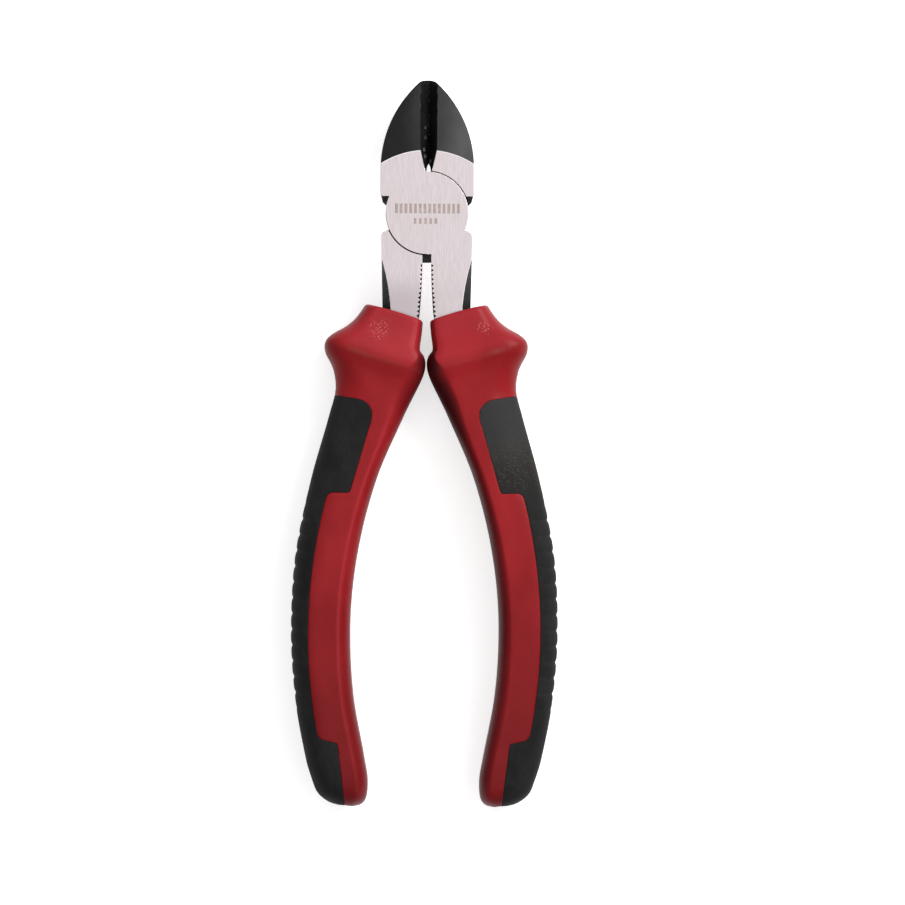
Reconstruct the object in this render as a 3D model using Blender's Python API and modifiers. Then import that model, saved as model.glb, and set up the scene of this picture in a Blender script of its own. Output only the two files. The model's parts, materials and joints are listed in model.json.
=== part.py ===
"""Diagonal cutting pliers, 180 mm, with two-component grips.

Two lapped levers, a rivet, two sleeves and two overmoulds. The tool lies flat, its jaws towards +Y and its
faces along Z. Shapes are drawn in millimetres about the rivet's axis, at the middle of the thickness. Two
empties carry the halves: one fixed, one that turns on the rivet.
"""

import math

import bmesh
import bpy
from mathutils import Matrix, Vector

MM = 0.001

# Overall, in millimetres.
TIP = 33.0  # rivet axis to jaw tip
GRIP_END = 147.0  # rivet axis to the ends of the grips
GRIP_HALF_THICKNESS = 10.0
HEAD_HALF_THICKNESS = 5.5
PIVOT_Y = (GRIP_END + TIP) / 2 - TIP

# Joint.
BOSS_RADIUS = 10.25
BOSS_CLEARANCE = 0.15
LAP_GAP = 0.05  # each side of the middle plane
RIVET_RADIUS = 3.6
RIVET_HEAD_RADIUS = 4.8
RIVET_HEAD_DEPTH = 1.2
RIVET_CLEARANCE = 0.05
RIVET_COVER = 0.5  # steel left over the rivet's front end
STOP_LUG = (1.0, 2.6, 12.2, 3.5)  # past the middle, into the tang, lowest point, height over the middle plane

# Jaws.
JAW_HALF_WIDTH = 11.6
JAW_ARC_RADIUS = 29.2
JAW_ARC_Y = 10.9
CROWN_RADIUS = 4.7  # of the rounded end of the jaws
EDGE_X = 0.3  # the cutting edges meet just right of the axis
EDGE_GAP = 0.05
SHOULDER_Y = 4.15  # at the ground faces
SHOULDER_RIDGE_Y = 1.75  # at the middle plane
INSIDE_BOSS = 9.0  # where outlines run on inside the boss
RELIEF_RADIUS = 21.4  # where the jaw faces start to slope
RELIEF_CENTRE_Y = -5.8
RELIEF_SLOPE = math.tan(math.radians(10.7))
GROOVE_HALF_WIDTH = 2.0
GROOVE_BOTTOM = 8.5  # inside the boss
GROOVE_BOTTOM_HALF_WIDTH = 0.65
THROAT_TOP = 12.5
THROAT_BOTTOM = 9.0  # inside the boss
THROAT_HALF_WIDTH = 0.55
SPARE = 0.7  # by which raw shapes stand over the faces that are ground flat afterwards

# Tangs.
TANG_HALF_WIDTH = 11.2
TANG_SHOULDER_Y = -4.0
# Depth below the rivet, then distance from the axis.
TANG_INNER = ((12.4, 1.1), (24.0, 1.6), (27.0, 2.1), (30.0, 3.4))
FLANK_START = 11.3
FLANK_END = 26.0
FLANK_WIDTH = 2.15  # of the sloped flank, seen from the front
TOOTH_COUNT = 12
TOOTH_PITCH = 1.13
TOOTH_DEPTH = 0.6
FIRST_TOOTH = 12.6
TAIL_START = 30.0
TAIL_END = 118.0
TAIL_HALF_THICKNESS = 2.75
TAIL_CENTRE = (
    (30.0, 6.9), (40.0, 10.2), (50.0, 14.4), (62.0, 18.7), (76.0, 22.6), (92.0, 24.9),
    (106.0, 25.4), (118.0, 24.9),
)
TAIL_HALF_WIDTHS = ((30.0, 3.6), (60.0, 3.5), (118.0, 2.6))
POCKET_GAP = 0.2

# Grips: depth below the rivet, then a distance from the axis or a half thickness.
GRIP_OUTER = (
    (20.0, 13.6), (23.0, 15.3), (26.3, 17.7), (28.3, 20.1), (29.8, 22.8), (31.3, 24.6),
    (33.2, 25.2), (35.2, 24.8), (37.4, 23.6), (39.6, 22.8), (43.0, 22.35), (50.0, 23.9),
    (66.0, 28.3), (85.0, 32.1), (103.7, 33.1), (121.0, 31.8), (135.5, 29.1), (141.0, 27.4),
    (143.6, 26.3), (145.5, 24.3), (146.7, 21.6), (147.0, 18.4),
)
GRIP_INNER = (
    (20.0, 0.9), (26.5, 0.9), (30.0, 1.15), (33.8, 1.6), (35.4, 0.6), (37.2, 0.15),
    (39.3, 0.4), (42.0, 1.4), (50.0, 5.3), (66.0, 12.1), (85.0, 16.8), (103.7, 18.4),
    (119.6, 17.5), (135.5, 14.6), (141.0, 13.8), (143.6, 13.9), (145.5, 14.4), (146.7, 15.6),
    (147.0, 16.8),
)
GRIP_THICKNESS = (
    (20.0, 7.2), (24.0, 7.4), (28.5, 8.1), (32.5, 9.4), (35.6, 10.0), (37.6, 9.4),
    (40.0, 8.7), (44.0, 8.3), (52.0, 8.5), (66.0, 9.4), (80.0, 10.0), (134.0, 10.0),
    (140.0, 9.7), (143.6, 8.9), (145.5, 7.6), (146.7, 5.8), (147.0, 4.6),
)
INNER_CORNER = ((20.0, 1.4), (33.0, 1.8), (37.5, 3.9), (50.0, 2.9), (66.0, 2.2), (85.0, 2.6), (147.0, 2.6))
OUTER_CORNER = ((20.0, 3.0), (33.0, 5.0), (45.0, 4.2), (147.0, 4.4))
CORNER_DEPTH = 4.6  # of the rounded edges, through the thickness
RING_SLANT = 0.294  # the rim and the guard's crest slope down towards the axis
SLANT_CENTRE = 12.0
SLANT_ENDS = (36.0, 62.0)
RIM_BOW = 0.0064  # the rim bends a little, and less with each ring down to the guard
BOW_CENTRE = 7.5
RIM = 23.1
GUARD = 33.0
CORNER_STEPS = 4

# Overmould.
SKIN = 1.8
SKIN_GAP = 0.2
PATCH_TOP = 42.7
STRIP_WIDEST = 28.75
STRIP_WIDEST_AT = 104.0
STRIP_CURVE = 0.0038

COLOURS = {
    "ground_steel": ((0.56, 0.52, 0.53, 1.0), 0.35, 1.0),
    "red_plastic": ((0.36, 0.028, 0.03, 1.0), 0.42, 0.0),
    "charcoal_rubber": ((0.022, 0.022, 0.022, 1.0), 0.75, 0.0),
    "rivet_steel": ((0.5, 0.48, 0.47, 1.0), 0.3, 1.0),
}


# Scene and materials.

def clear_scene():
    for obj in list(bpy.data.objects):
        bpy.data.objects.remove(obj, do_unlink=True)


def collection(name):
    made = bpy.data.collections.new(name)
    bpy.context.scene.collection.children.link(made)
    return made


def material(name):
    colour, roughness, metallic = COLOURS[name]
    made = bpy.data.materials.new(name)
    made.use_nodes = True
    shader = made.node_tree.nodes["Principled BSDF"]
    shader.inputs["Base Color"].default_value = colour
    shader.inputs["Roughness"].default_value = roughness
    shader.inputs["Metallic"].default_value = metallic
    return made


# Curves and interpolation.

def smooth(points, at):
    """The value at a place along a smooth curve through (place, value) points, held level past its ends."""
    if at <= points[0][0]:
        return points[0][1]
    if at >= points[-1][0]:
        return points[-1][1]
    index = max(i for i, point in enumerate(points) if point[0] <= at)
    last = len(points) - 1
    (x0, y0), (x1, y1) = points[index], points[index + 1]
    step = x1 - x0

    def tangent(i):
        before, after = points[max(i - 1, 0)], points[min(i + 1, last)]
        here = points[i]
        if (here[1] - before[1]) * (after[1] - here[1]) <= 0:
            return 0.0
        return (after[1] - before[1]) / (after[0] - before[0])

    t = (at - x0) / step
    start = (2 * t**3 - 3 * t**2 + 1) * y0 + (t**3 - 2 * t**2 + t) * step * tangent(index)
    end = (3 * t**2 - 2 * t**3) * y1 + (t**3 - t**2) * step * tangent(index + 1)
    return start + end


def arc(centre, radius, start, end, steps):
    """Points on an arc from one angle to another, in degrees."""
    angles = [math.radians(start + (end - start) * i / steps) for i in range(steps + 1)]
    return [(centre[0] + radius * math.cos(a), centre[1] + radius * math.sin(a)) for a in angles]


def rounded(corner, before, after, radius, steps=4):
    """The arc that rounds a corner between its two neighbours."""
    corner = Vector(corner)
    to_before = (Vector(before) - corner).normalized()
    to_after = (Vector(after) - corner).normalized()
    half = to_before.angle(to_after) / 2
    reach = radius / math.tan(half)
    middle = corner + (to_before + to_after).normalized() * (radius / math.sin(half))
    first = corner + to_before * reach - middle
    second = corner + to_after * reach - middle
    spokes = [first.slerp(second, i / steps).normalized() * radius for i in range(steps + 1)]
    return [tuple(middle + spoke) for spoke in spokes]


def grown(outline, amount):
    """A counter-clockwise outline moved outwards by an amount."""
    moved = []
    for i, point in enumerate(outline):
        before = Vector(point) - Vector(outline[i - 1])
        after = Vector(outline[(i + 1) % len(outline)]) - Vector(point)
        before.normalize()
        after.normalize()
        across = (before + after).normalized()
        moved.append((point[0] + across.y * amount, point[1] - across.x * amount))
    return moved


# Solids.

def new_object(name, mesh, place):
    obj = bpy.data.objects.new(name, mesh)
    place.objects.link(obj)
    return obj


def cutter_look(obj):
    obj.hide_render = True
    obj.display_type = "WIRE"
    return obj


def plate(name, outline, low, high):
    """A flat outline given thickness, made as a filled 2D curve and turned into a mesh."""
    curve = bpy.data.curves.new(name, "CURVE")
    curve.dimensions = "2D"
    curve.fill_mode = "BOTH"
    curve.extrude = (high - low) / 2 * MM
    spline = curve.splines.new("POLY")
    spline.points.add(len(outline) - 1)
    for point, (x, y) in zip(spline.points, outline):
        point.co = (x * MM, y * MM, 0.0, 1.0)
    spline.use_cyclic_u = True
    drawn = new_object(name + "_outline", curve, cutters)
    drawn.location.z = (high + low) / 2 * MM
    bpy.context.view_layer.update()
    mesh = bpy.data.meshes.new_from_object(drawn.evaluated_get(bpy.context.evaluated_depsgraph_get()))
    mesh.transform(drawn.matrix_world)
    bpy.data.objects.remove(drawn, do_unlink=True)
    welded = bmesh.new()
    welded.from_mesh(mesh)
    bmesh.ops.remove_doubles(welded, verts=welded.verts, dist=1e-7)
    bmesh.ops.recalc_face_normals(welded, faces=welded.faces)
    welded.to_mesh(mesh)
    welded.free()
    return cutter_look(new_object(name, mesh, cutters))


def cylinder(name, radius, low, high, segments=96):
    bm = bmesh.new()
    bmesh.ops.create_cone(
        bm,
        cap_ends=True,
        segments=segments,
        radius1=radius * MM,
        radius2=radius * MM,
        depth=(high - low) * MM,
        matrix=Matrix.Translation((0.0, 0.0, (high + low) / 2 * MM)),
    )
    return from_bmesh(name, bm)


def box(name, lowest, highest):
    size = [(high - low) * MM for low, high in zip(lowest, highest)]
    middle = [(high + low) / 2 * MM for low, high in zip(lowest, highest)]
    bm = bmesh.new()
    bmesh.ops.create_cube(bm, size=1.0, matrix=Matrix.Translation(middle) @ Matrix.Diagonal((*size, 1.0)))
    return from_bmesh(name, bm)


def from_bmesh(name, bm):
    mesh = bpy.data.meshes.new(name)
    bm.to_mesh(mesh)
    bm.free()
    return cutter_look(new_object(name, mesh, cutters))


def loft(name, rings):
    """A closed skin over rings of equally many points, in millimetres."""
    bm = bmesh.new()
    rows = [[bm.verts.new([value * MM for value in point]) for point in ring] for ring in rings]
    for row, following in zip(rows, rows[1:]):
        for i in range(len(row)):
            j = (i + 1) % len(row)
            bm.faces.new((row[i], row[j], following[j], following[i]))
    bmesh.ops.triangulate(bm, faces=bm.faces)
    bm.faces.new(rows[0])
    bm.faces.new(rows[-1])
    bmesh.ops.recalc_face_normals(bm, faces=bm.faces)
    if bm.calc_volume(signed=True) < 0:
        bmesh.ops.reverse_faces(bm, faces=bm.faces)
    return from_bmesh(name, bm)


def boolean(obj, operation, *others):
    """Applies Booleans with other solids, which are then removed."""
    for other in others:
        modifier = obj.modifiers.new(other.name, "BOOLEAN")
        modifier.operation = operation
        modifier.object = other
        modifier.solver = "EXACT"
        bpy.context.view_layer.update()
        mesh = bpy.data.meshes.new_from_object(obj.evaluated_get(bpy.context.evaluated_depsgraph_get()))
        obj.modifiers.clear()
        obj.data = mesh
    for other in others:
        bpy.data.objects.remove(other, do_unlink=True)
    return obj


def turned(name, profile, centre_y=0.0, steps=96):
    """A solid of revolution about an axis along Z.

    The profile is (radius, height) points, and is closed if it leaves the axis.
    """
    mesh = bpy.data.meshes.new(name)
    points = [(radius * MM, 0.0, height * MM) for radius, height in profile]
    edges = [(i, i + 1) for i in range(len(points) - 1)]
    if profile[0][0] > 0:
        edges.append((len(points) - 1, 0))
    mesh.from_pydata(points, edges, [])
    obj = new_object(name, mesh, cutters)
    screw = obj.modifiers.new("turn", "SCREW")
    screw.steps = steps
    screw.render_steps = steps
    screw.use_merge_vertices = True
    screw.merge_threshold = 1e-6
    screw.use_normal_calculate = True
    obj.location.y = centre_y * MM
    bpy.context.view_layer.update()
    solid = bpy.data.meshes.new_from_object(obj.evaluated_get(bpy.context.evaluated_depsgraph_get()))
    solid.transform(obj.matrix_world)
    bpy.data.objects.remove(obj, do_unlink=True)
    bm = bmesh.new()
    bm.from_mesh(solid)
    bmesh.ops.remove_doubles(bm, verts=bm.verts, dist=1e-6)
    bmesh.ops.recalc_face_normals(bm, faces=bm.faces)
    bpy.data.meshes.remove(solid)
    return from_bmesh(name, bm)


def flipped(obj, name):
    """A copy of a solid on the other side of the middle plane."""
    mesh = obj.data.copy()
    mesh.transform(Matrix.Diagonal((1.0, 1.0, -1.0, 1.0)))
    mesh.flip_normals()
    return cutter_look(new_object(name, mesh, cutters))


# Levers, drawn as the front lever: jaw at the left, tang at the right.

def jaw_outlines(edge_x):
    """The jaw's outline at the ground face and at the middle plane, clockwise from the cutting edge."""
    centre = (JAW_ARC_RADIUS - JAW_HALF_WIDTH, JAW_ARC_Y)
    below_crown = 0.55
    highest = 180.0 - math.degrees(math.asin((TIP - below_crown - JAW_ARC_Y) / JAW_ARC_RADIUS))
    crown = arc((0.0, TIP - CROWN_RADIUS), CROWN_RADIUS, 100.0, 110.0, 2)
    flank = arc(centre, JAW_ARC_RADIUS, highest, 180.0, 14)
    edge = [(edge_x, GROOVE_BOTTOM - 0.5), (edge_x, TIP)]
    shared = edge + crown + flank + [(-JAW_HALF_WIDTH, SHOULDER_Y + 0.75)]
    face = [(-JAW_HALF_WIDTH + 0.3, SHOULDER_Y), (-INSIDE_BOSS, SHOULDER_Y)]
    ridge = [(-JAW_HALF_WIDTH + 0.6, SHOULDER_RIDGE_Y + 0.9), (-INSIDE_BOSS - 1.0, SHOULDER_RIDGE_Y - 0.1)]
    inside = [(-3.0, 3.0)]
    return shared + face + inside, shared + ridge + inside


def throat_outline(edge_x):
    """The slot at the root of the cutting edges, pointed at its top."""
    wide, narrow = THROAT_HALF_WIDTH, THROAT_HALF_WIDTH - 0.15
    return [
        (edge_x - wide, THROAT_BOTTOM),
        (edge_x + wide, THROAT_BOTTOM),
        (edge_x + wide, THROAT_TOP - 1.9),
        (edge_x + narrow, THROAT_TOP - 0.9),
        (edge_x, THROAT_TOP),
        (edge_x - narrow, THROAT_TOP - 0.9),
        (edge_x - wide, THROAT_TOP - 1.9),
    ]


def jaw(edge_x):
    face, middle = jaw_outlines(edge_x - EDGE_GAP)
    top = HEAD_HALF_THICKNESS
    levels = ((-top - SPARE, face), (-top, face), (0.0, middle), (top, face), (top + SPARE, face))
    solid = loft("jaw", [[(x, y, z) for x, y in outline] for z, outline in levels])
    groove = cutting_groove(edge_x)
    relief = face_relief()
    throat = plate("throat", throat_outline(edge_x), -top - 2.0, top + 2.0)
    both = [groove, flipped(groove, "groove_back"), relief, flipped(relief, "relief_back"), throat]
    return boolean(solid, "DIFFERENCE", *both)


def cutting_groove(edge_x):
    """The V between the bevelled cutting edges on the front, which closes to the throat above the boss."""
    past = 1.0

    def section(y, half_width):
        reach = math.hypot(edge_x, y - RELIEF_CENTRE_Y) - RELIEF_RADIUS
        face = HEAD_HALF_THICKNESS - max(reach, 0.0) * RELIEF_SLOPE
        wide = half_width * (face + past) / face
        return [(edge_x, y, 0.0), (edge_x + wide, y, face + past), (edge_x - wide, y, face + past)]

    arc_y = RELIEF_RADIUS + RELIEF_CENTRE_Y
    steps = 5
    along = [section(arc_y + (TIP + 1.0 - arc_y) * i / steps, GROOVE_HALF_WIDTH) for i in range(steps + 1)]
    return loft("groove", [section(GROOVE_BOTTOM, GROOVE_BOTTOM_HALF_WIDTH), *along])


def face_relief():
    """The turned cutter that slopes the jaw's face away towards the tip."""
    inner, outer, top = 15.0, 45.0, 9.0
    profile = [
        (inner, top),
        (inner, HEAD_HALF_THICKNESS - (inner - RELIEF_RADIUS) * RELIEF_SLOPE),
        (outer, HEAD_HALF_THICKNESS - (outer - RELIEF_RADIUS) * RELIEF_SLOPE),
        (outer, top),
    ]
    return turned("relief", profile, RELIEF_CENTRE_Y, 144)


def tang_inner(grow, tooth_depth):
    """The tang's inner edge down to its tail, with notches of a depth."""
    edge = [(TANG_INNER[0][1] - grow, -8.0)]
    for i in range(TOOTH_COUNT):
        top = FIRST_TOOTH + i * TOOTH_PITCH
        for share, cut in ((0.0, 0.0), (0.4, tooth_depth), (0.8, 0.0)):
            depth = top + TOOTH_PITCH * share
            edge.append((smooth(TANG_INNER, depth) - grow + cut, -depth))
    toothed = FIRST_TOOTH + TOOTH_COUNT * TOOTH_PITCH
    return edge + [(x - grow, -depth) for depth, x in TANG_INNER if depth > toothed]


def tail_outline(grow):
    """The tail inside the grip: down its inner edge, round its end and up its outer edge."""
    start = TAIL_START + 1.5
    depths = [start + (TAIL_END - start) * i / 15 for i in range(16)]
    inner = [(smooth(TAIL_CENTRE, d) - smooth(TAIL_HALF_WIDTHS, d) - grow, -d) for d in depths]
    outer = [(smooth(TAIL_CENTRE, d) + smooth(TAIL_HALF_WIDTHS, d) + grow, -d) for d in depths]
    end = [(smooth(TAIL_CENTRE, TAIL_END) + shift, -TAIL_END - 1.5 - grow) for shift in (-1.4, 1.4)]
    return inner + end + outer[::-1]


def tang_outer(grow, slope_width):
    """The tang's outer edge, up from its tail to the boss, set in by the sloped flank's width."""
    steps = 8
    drift = 0.3
    edge = [(TANG_HALF_WIDTH - 0.4 - slope_width + grow, -TAIL_START)]
    for i in range(steps + 1):
        along = i / steps
        depth = FLANK_END + (FLANK_START - FLANK_END) * along
        slope = slope_width * (1.0 - along**2)
        edge.append((TANG_HALF_WIDTH - drift * (1.0 - along) + grow - slope, -depth))
    return edge + [
        (TANG_HALF_WIDTH + 0.1 + grow, TANG_SHOULDER_Y - 1.6),
        (TANG_HALF_WIDTH - 0.2 + grow, TANG_SHOULDER_Y - 0.9),
        (INSIDE_BOSS + 0.2, TANG_SHOULDER_Y),
        (3.0, -3.0),
    ]


def tang(name, grow=0.0, tooth_depth=TOOTH_DEPTH):
    """The tang: full thickness down to the grip's mouth, then a thin tail.

    Its notches run out at the middle plane.
    """
    tail = tail_outline(grow)
    face = tang_inner(grow, tooth_depth) + tail + tang_outer(grow, FLANK_WIDTH)
    middle = tang_inner(grow, 0.0) + tail + tang_outer(grow, 0.0)
    top = HEAD_HALF_THICKNESS + grow
    levels = ((-top - SPARE, face), (-top, face), (0.0, middle), (top, face), (top + SPARE, face))
    solid = loft(name, [[(x, y, z) for x, y in outline] for z, outline in levels])
    thin = TAIL_HALF_THICKNESS + grow
    below = box("below", (-5.0, -GRIP_END, thin), (40.0, -TAIL_START - 0.7 - grow, top + 2.0))
    return boolean(solid, "DIFFERENCE", below, flipped(below, "below_back"))


def ground(solid, half_thickness):
    """Both faces cut flat."""
    slab = box("slab", (-60.0, -160.0, -half_thickness), (60.0, 60.0, half_thickness))
    return boolean(solid, "INTERSECT", slab)


def lever(name, edge_x):
    """One forging without its rivet hole: jaw, half boss, tang and half of the stop lug."""
    solid = jaw(edge_x)
    boss = cylinder("boss", BOSS_RADIUS, -HEAD_HALF_THICKNESS / 2, HEAD_HALF_THICKNESS + SPARE)
    solid = boolean(solid, "UNION", boss, tang("tang"))
    solid = ground(solid, HEAD_HALF_THICKNESS)
    across, into, lowest, height = STOP_LUG
    lug = box("lug", (-across, -lowest, 2 * LAP_GAP), (into, -INSIDE_BOSS, height))
    lap = cylinder("lap", BOSS_RADIUS + BOSS_CLEARANCE, -HEAD_HALF_THICKNESS - SPARE, LAP_GAP)
    solid = boolean(solid, "UNION", lug)
    solid = boolean(solid, "DIFFERENCE", lap)
    solid.name = name
    return solid


def rivet_profile(clearance, front_end, back_end):
    """Shank with a countersunk head at the back, from the front end's middle to the back end's."""
    head = -HEAD_HALF_THICKNESS + RIVET_HEAD_DEPTH
    radius = RIVET_RADIUS + clearance
    head_radius = RIVET_HEAD_RADIUS + clearance
    flare = (head_radius - radius) / RIVET_HEAD_DEPTH * (head - back_end)
    shank = [(0.0, front_end), (radius, front_end), (radius, head)]
    return shank + [(radius + flare, back_end), (0.0, back_end)]


def rivet(name, clearance=0.0, front_end=None, back_end=-HEAD_HALF_THICKNESS):
    front = HEAD_HALF_THICKNESS - RIVET_COVER - 0.2 if front_end is None else front_end
    return turned(name, rivet_profile(clearance, front, back_end), steps=64)


def make_levers():
    front = lever("front_lever", EDGE_X)
    hole = rivet("hole", RIVET_CLEARANCE, HEAD_HALF_THICKNESS - RIVET_COVER, -7.0)
    boolean(front, "DIFFERENCE", hole)
    rear = lever("rear_lever", -EDGE_X)
    rear.data.transform(Matrix.Rotation(math.pi, 4, "Y"))
    boolean(rear, "DIFFERENCE", rivet("hole", RIVET_CLEARANCE, 7.0, -7.0))
    pin = rivet("pivot_rivet")
    return front, rear, pin


# Grips, drawn at the right.

def slant(s):
    """How much a ring of the grip slopes, from the rim's slope to none along the handle."""
    t = min(max((s - SLANT_ENDS[0]) / (SLANT_ENDS[1] - SLANT_ENDS[0]), 0.0), 1.0)
    return RING_SLANT * (1.0 - t * t * (3.0 - 2.0 * t))


def ring_depth(s, x):
    """How far below the rivet a ring lies at a distance from the axis."""
    bow = RIM_BOW * max(GUARD - s, 0.0) / (GUARD - RIM)
    return s - slant(s) * (x - SLANT_CENTRE) + bow * (x - BOW_CENTRE) ** 2


def edge_on_ring(profile, s):
    """The distance from the axis at which a sloping ring meets an edge of the outline."""
    x = smooth(profile, s)
    for _ in range(12):
        x = smooth(profile, ring_depth(s, x))
    return x


def grip_ring(s, inset):
    """A rounded section of the grip at a place along it, inset all round."""
    outer = edge_on_ring(GRIP_OUTER, s) - inset
    inner = edge_on_ring(GRIP_INNER, s) + inset
    half = smooth(GRIP_THICKNESS, s) - inset
    width = outer - inner
    outer_x = min(smooth(OUTER_CORNER, s) - inset / 2, width * 0.48)
    inner_x = min(smooth(INNER_CORNER, s) - inset / 2, width * 0.48)
    deep = min(CORNER_DEPTH - inset / 2, half * 0.9)
    end = GRIP_END - 10.0
    pulled_in = max(s - end, 0.0) * inset / 10.0
    ring = []
    corners = (
        (outer - outer_x, half - deep, outer_x, 0.0),
        (inner + inner_x, half - deep, inner_x, 90.0),
        (inner + inner_x, deep - half, inner_x, 180.0),
        (outer - outer_x, deep - half, outer_x, 270.0),
    )
    for x, z, across, start in corners:
        for i in range(CORNER_STEPS + 1):
            angle = math.radians(start + 90.0 * i / CORNER_STEPS)
            px = x + across * math.cos(angle)
            ring.append((px, pulled_in - ring_depth(s, px), z + deep * math.sin(angle)))
    return ring


def grip_stations():
    """Places along the grip, closer together round the guard and at the end."""
    guard = [RIM + (GUARD - RIM) * i / 4 for i in range(4)] + [GUARD + 1.5 * i for i in range(8)]
    handle = [46.5 + (GRIP_END - 10.0 - 46.5) * i / 12 for i in range(12)]
    end = [GRIP_END - 10.0 + 10.0 * math.sin(math.pi / 2 * i / 5) for i in range(6)]
    return guard + handle + end


def grip_solid(name, inset):
    return loft(name, [grip_ring(s, inset) for s in grip_stations()])


def inlay_outline(grow):
    """The edge of the overmould seen from the front: a wide patch at each end, and a strip between them."""
    top_outer = (38.0, -PATCH_TOP)
    top_inner = (12.2, -46.9)
    notch_inner = (18.7, -69.4)
    notch_outer = (24.1, -69.3)
    strip = []
    for i in range(9):
        depth = 72.5 + (127.0 - 72.5) * i / 8
        strip.append((STRIP_WIDEST - STRIP_CURVE * (depth - STRIP_WIDEST_AT) ** 2, -depth))
    low_outer = (26.0, -130.3)
    low_inner = (21.3, -131.3)
    bottom = (19.0, -150.0)
    outline = [top_outer]
    outline += rounded(top_inner, top_outer, notch_inner, 4.0)
    outline += rounded(notch_inner, top_inner, notch_outer, 0.8, 2)
    outline += rounded(notch_outer, notch_inner, strip[0], 1.8, 3)
    outline += strip
    outline += rounded(low_outer, strip[-1], low_inner, 2.3, 3)
    outline += rounded(low_inner, low_outer, bottom, 0.8, 2)
    outline += [bottom, (38.0, -150.0)]
    return grown(outline, grow)


def make_grip():
    """The sleeve and the overmould of the right grip."""
    over = GRIP_HALF_THICKNESS + 2.0
    around = plate("around", inlay_outline(SKIN_GAP / 2), -over, over)
    recess = boolean(around, "DIFFERENCE", grip_solid("floor", SKIN + SKIN_GAP))
    pocket = ground(tang("pocket", POCKET_GAP, 0.0), HEAD_HALF_THICKNESS + POCKET_GAP)
    core = boolean(grip_solid("right_grip_core", 0.0), "DIFFERENCE", recess, pocket)
    within = plate("within", inlay_outline(-SKIN_GAP / 2), -over, over)
    overmould = boolean(grip_solid("right_grip_overmould", 0.0), "INTERSECT", within)
    boolean(overmould, "DIFFERENCE", grip_solid("inside", SKIN))
    return core, overmould


def mirrored(obj, name):
    mesh = obj.data.copy()
    mesh.transform(Matrix.Diagonal((-1.0, 1.0, 1.0, 1.0)))
    mesh.flip_normals()
    return new_object(name, mesh, cutters)


# Assembly.

def finish(obj, look, carrier):
    """Moves a solid from the workshop to the part, gives it its material and hangs it on its half."""
    cutters.objects.unlink(obj)
    pliers.objects.link(obj)
    obj.hide_render = False
    obj.display_type = "TEXTURED"
    obj.data.name = obj.name
    obj.data.materials.clear()
    obj.data.materials.append(look)
    obj.data.shade_smooth()
    obj.data.set_sharp_from_angle(angle=math.radians(35.0))
    obj.parent = carrier


def carrier(name):
    empty = bpy.data.objects.new(name, None)
    empty.location = (0.0, PIVOT_Y * MM, GRIP_HALF_THICKNESS * MM)
    pliers.objects.link(empty)
    return empty


clear_scene()
pliers = collection("diagonal_cutters")
cutters = collection("cutters")
fixed_half = carrier("rear_half")
turning_half = carrier("front_half_on_rivet_axis")
materials = {name: material(name) for name in COLOURS}

front_lever, rear_lever, pivot_rivet = make_levers()
right_core, right_overmould = make_grip()
left_core = mirrored(right_core, "left_grip_core")
left_overmould = mirrored(right_overmould, "left_grip_overmould")

finish(rear_lever, materials["ground_steel"], fixed_half)
finish(left_core, materials["red_plastic"], fixed_half)
finish(left_overmould, materials["charcoal_rubber"], fixed_half)
finish(front_lever, materials["ground_steel"], turning_half)
finish(pivot_rivet, materials["rivet_steel"], turning_half)
finish(right_core, materials["red_plastic"], turning_half)
finish(right_overmould, materials["charcoal_rubber"], turning_half)
bpy.context.view_layer.update()
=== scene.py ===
"""The looks of a pair of diagonal cutting pliers: ground and blackened levers, a turned rivet, red grips with
ribbed charcoal overmoulds.

Shapes are drawn in millimetres about the rivet's axis, at the middle of the thickness, with the jaws
towards +Y.
"""

import json
import math

import bpy
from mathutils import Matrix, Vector


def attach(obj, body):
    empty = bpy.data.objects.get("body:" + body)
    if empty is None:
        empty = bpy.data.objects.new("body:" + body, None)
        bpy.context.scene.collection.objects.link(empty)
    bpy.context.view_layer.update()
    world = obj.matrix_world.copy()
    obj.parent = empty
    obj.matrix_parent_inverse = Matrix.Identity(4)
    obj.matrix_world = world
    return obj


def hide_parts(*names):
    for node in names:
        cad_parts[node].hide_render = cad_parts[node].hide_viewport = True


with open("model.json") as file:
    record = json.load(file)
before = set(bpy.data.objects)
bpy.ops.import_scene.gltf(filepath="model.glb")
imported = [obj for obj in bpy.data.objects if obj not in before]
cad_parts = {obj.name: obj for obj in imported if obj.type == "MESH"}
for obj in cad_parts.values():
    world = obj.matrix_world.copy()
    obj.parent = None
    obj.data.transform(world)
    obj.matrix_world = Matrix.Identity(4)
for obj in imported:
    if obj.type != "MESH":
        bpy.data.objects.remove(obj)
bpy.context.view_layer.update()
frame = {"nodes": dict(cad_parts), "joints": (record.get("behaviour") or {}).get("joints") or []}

MM = 0.001
PIVOT = Vector(frame["joints"][0]["pos_m"])
PIVOT_DEPTH = PIVOT.y / MM  # from the frame's origin, in millimetres

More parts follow.
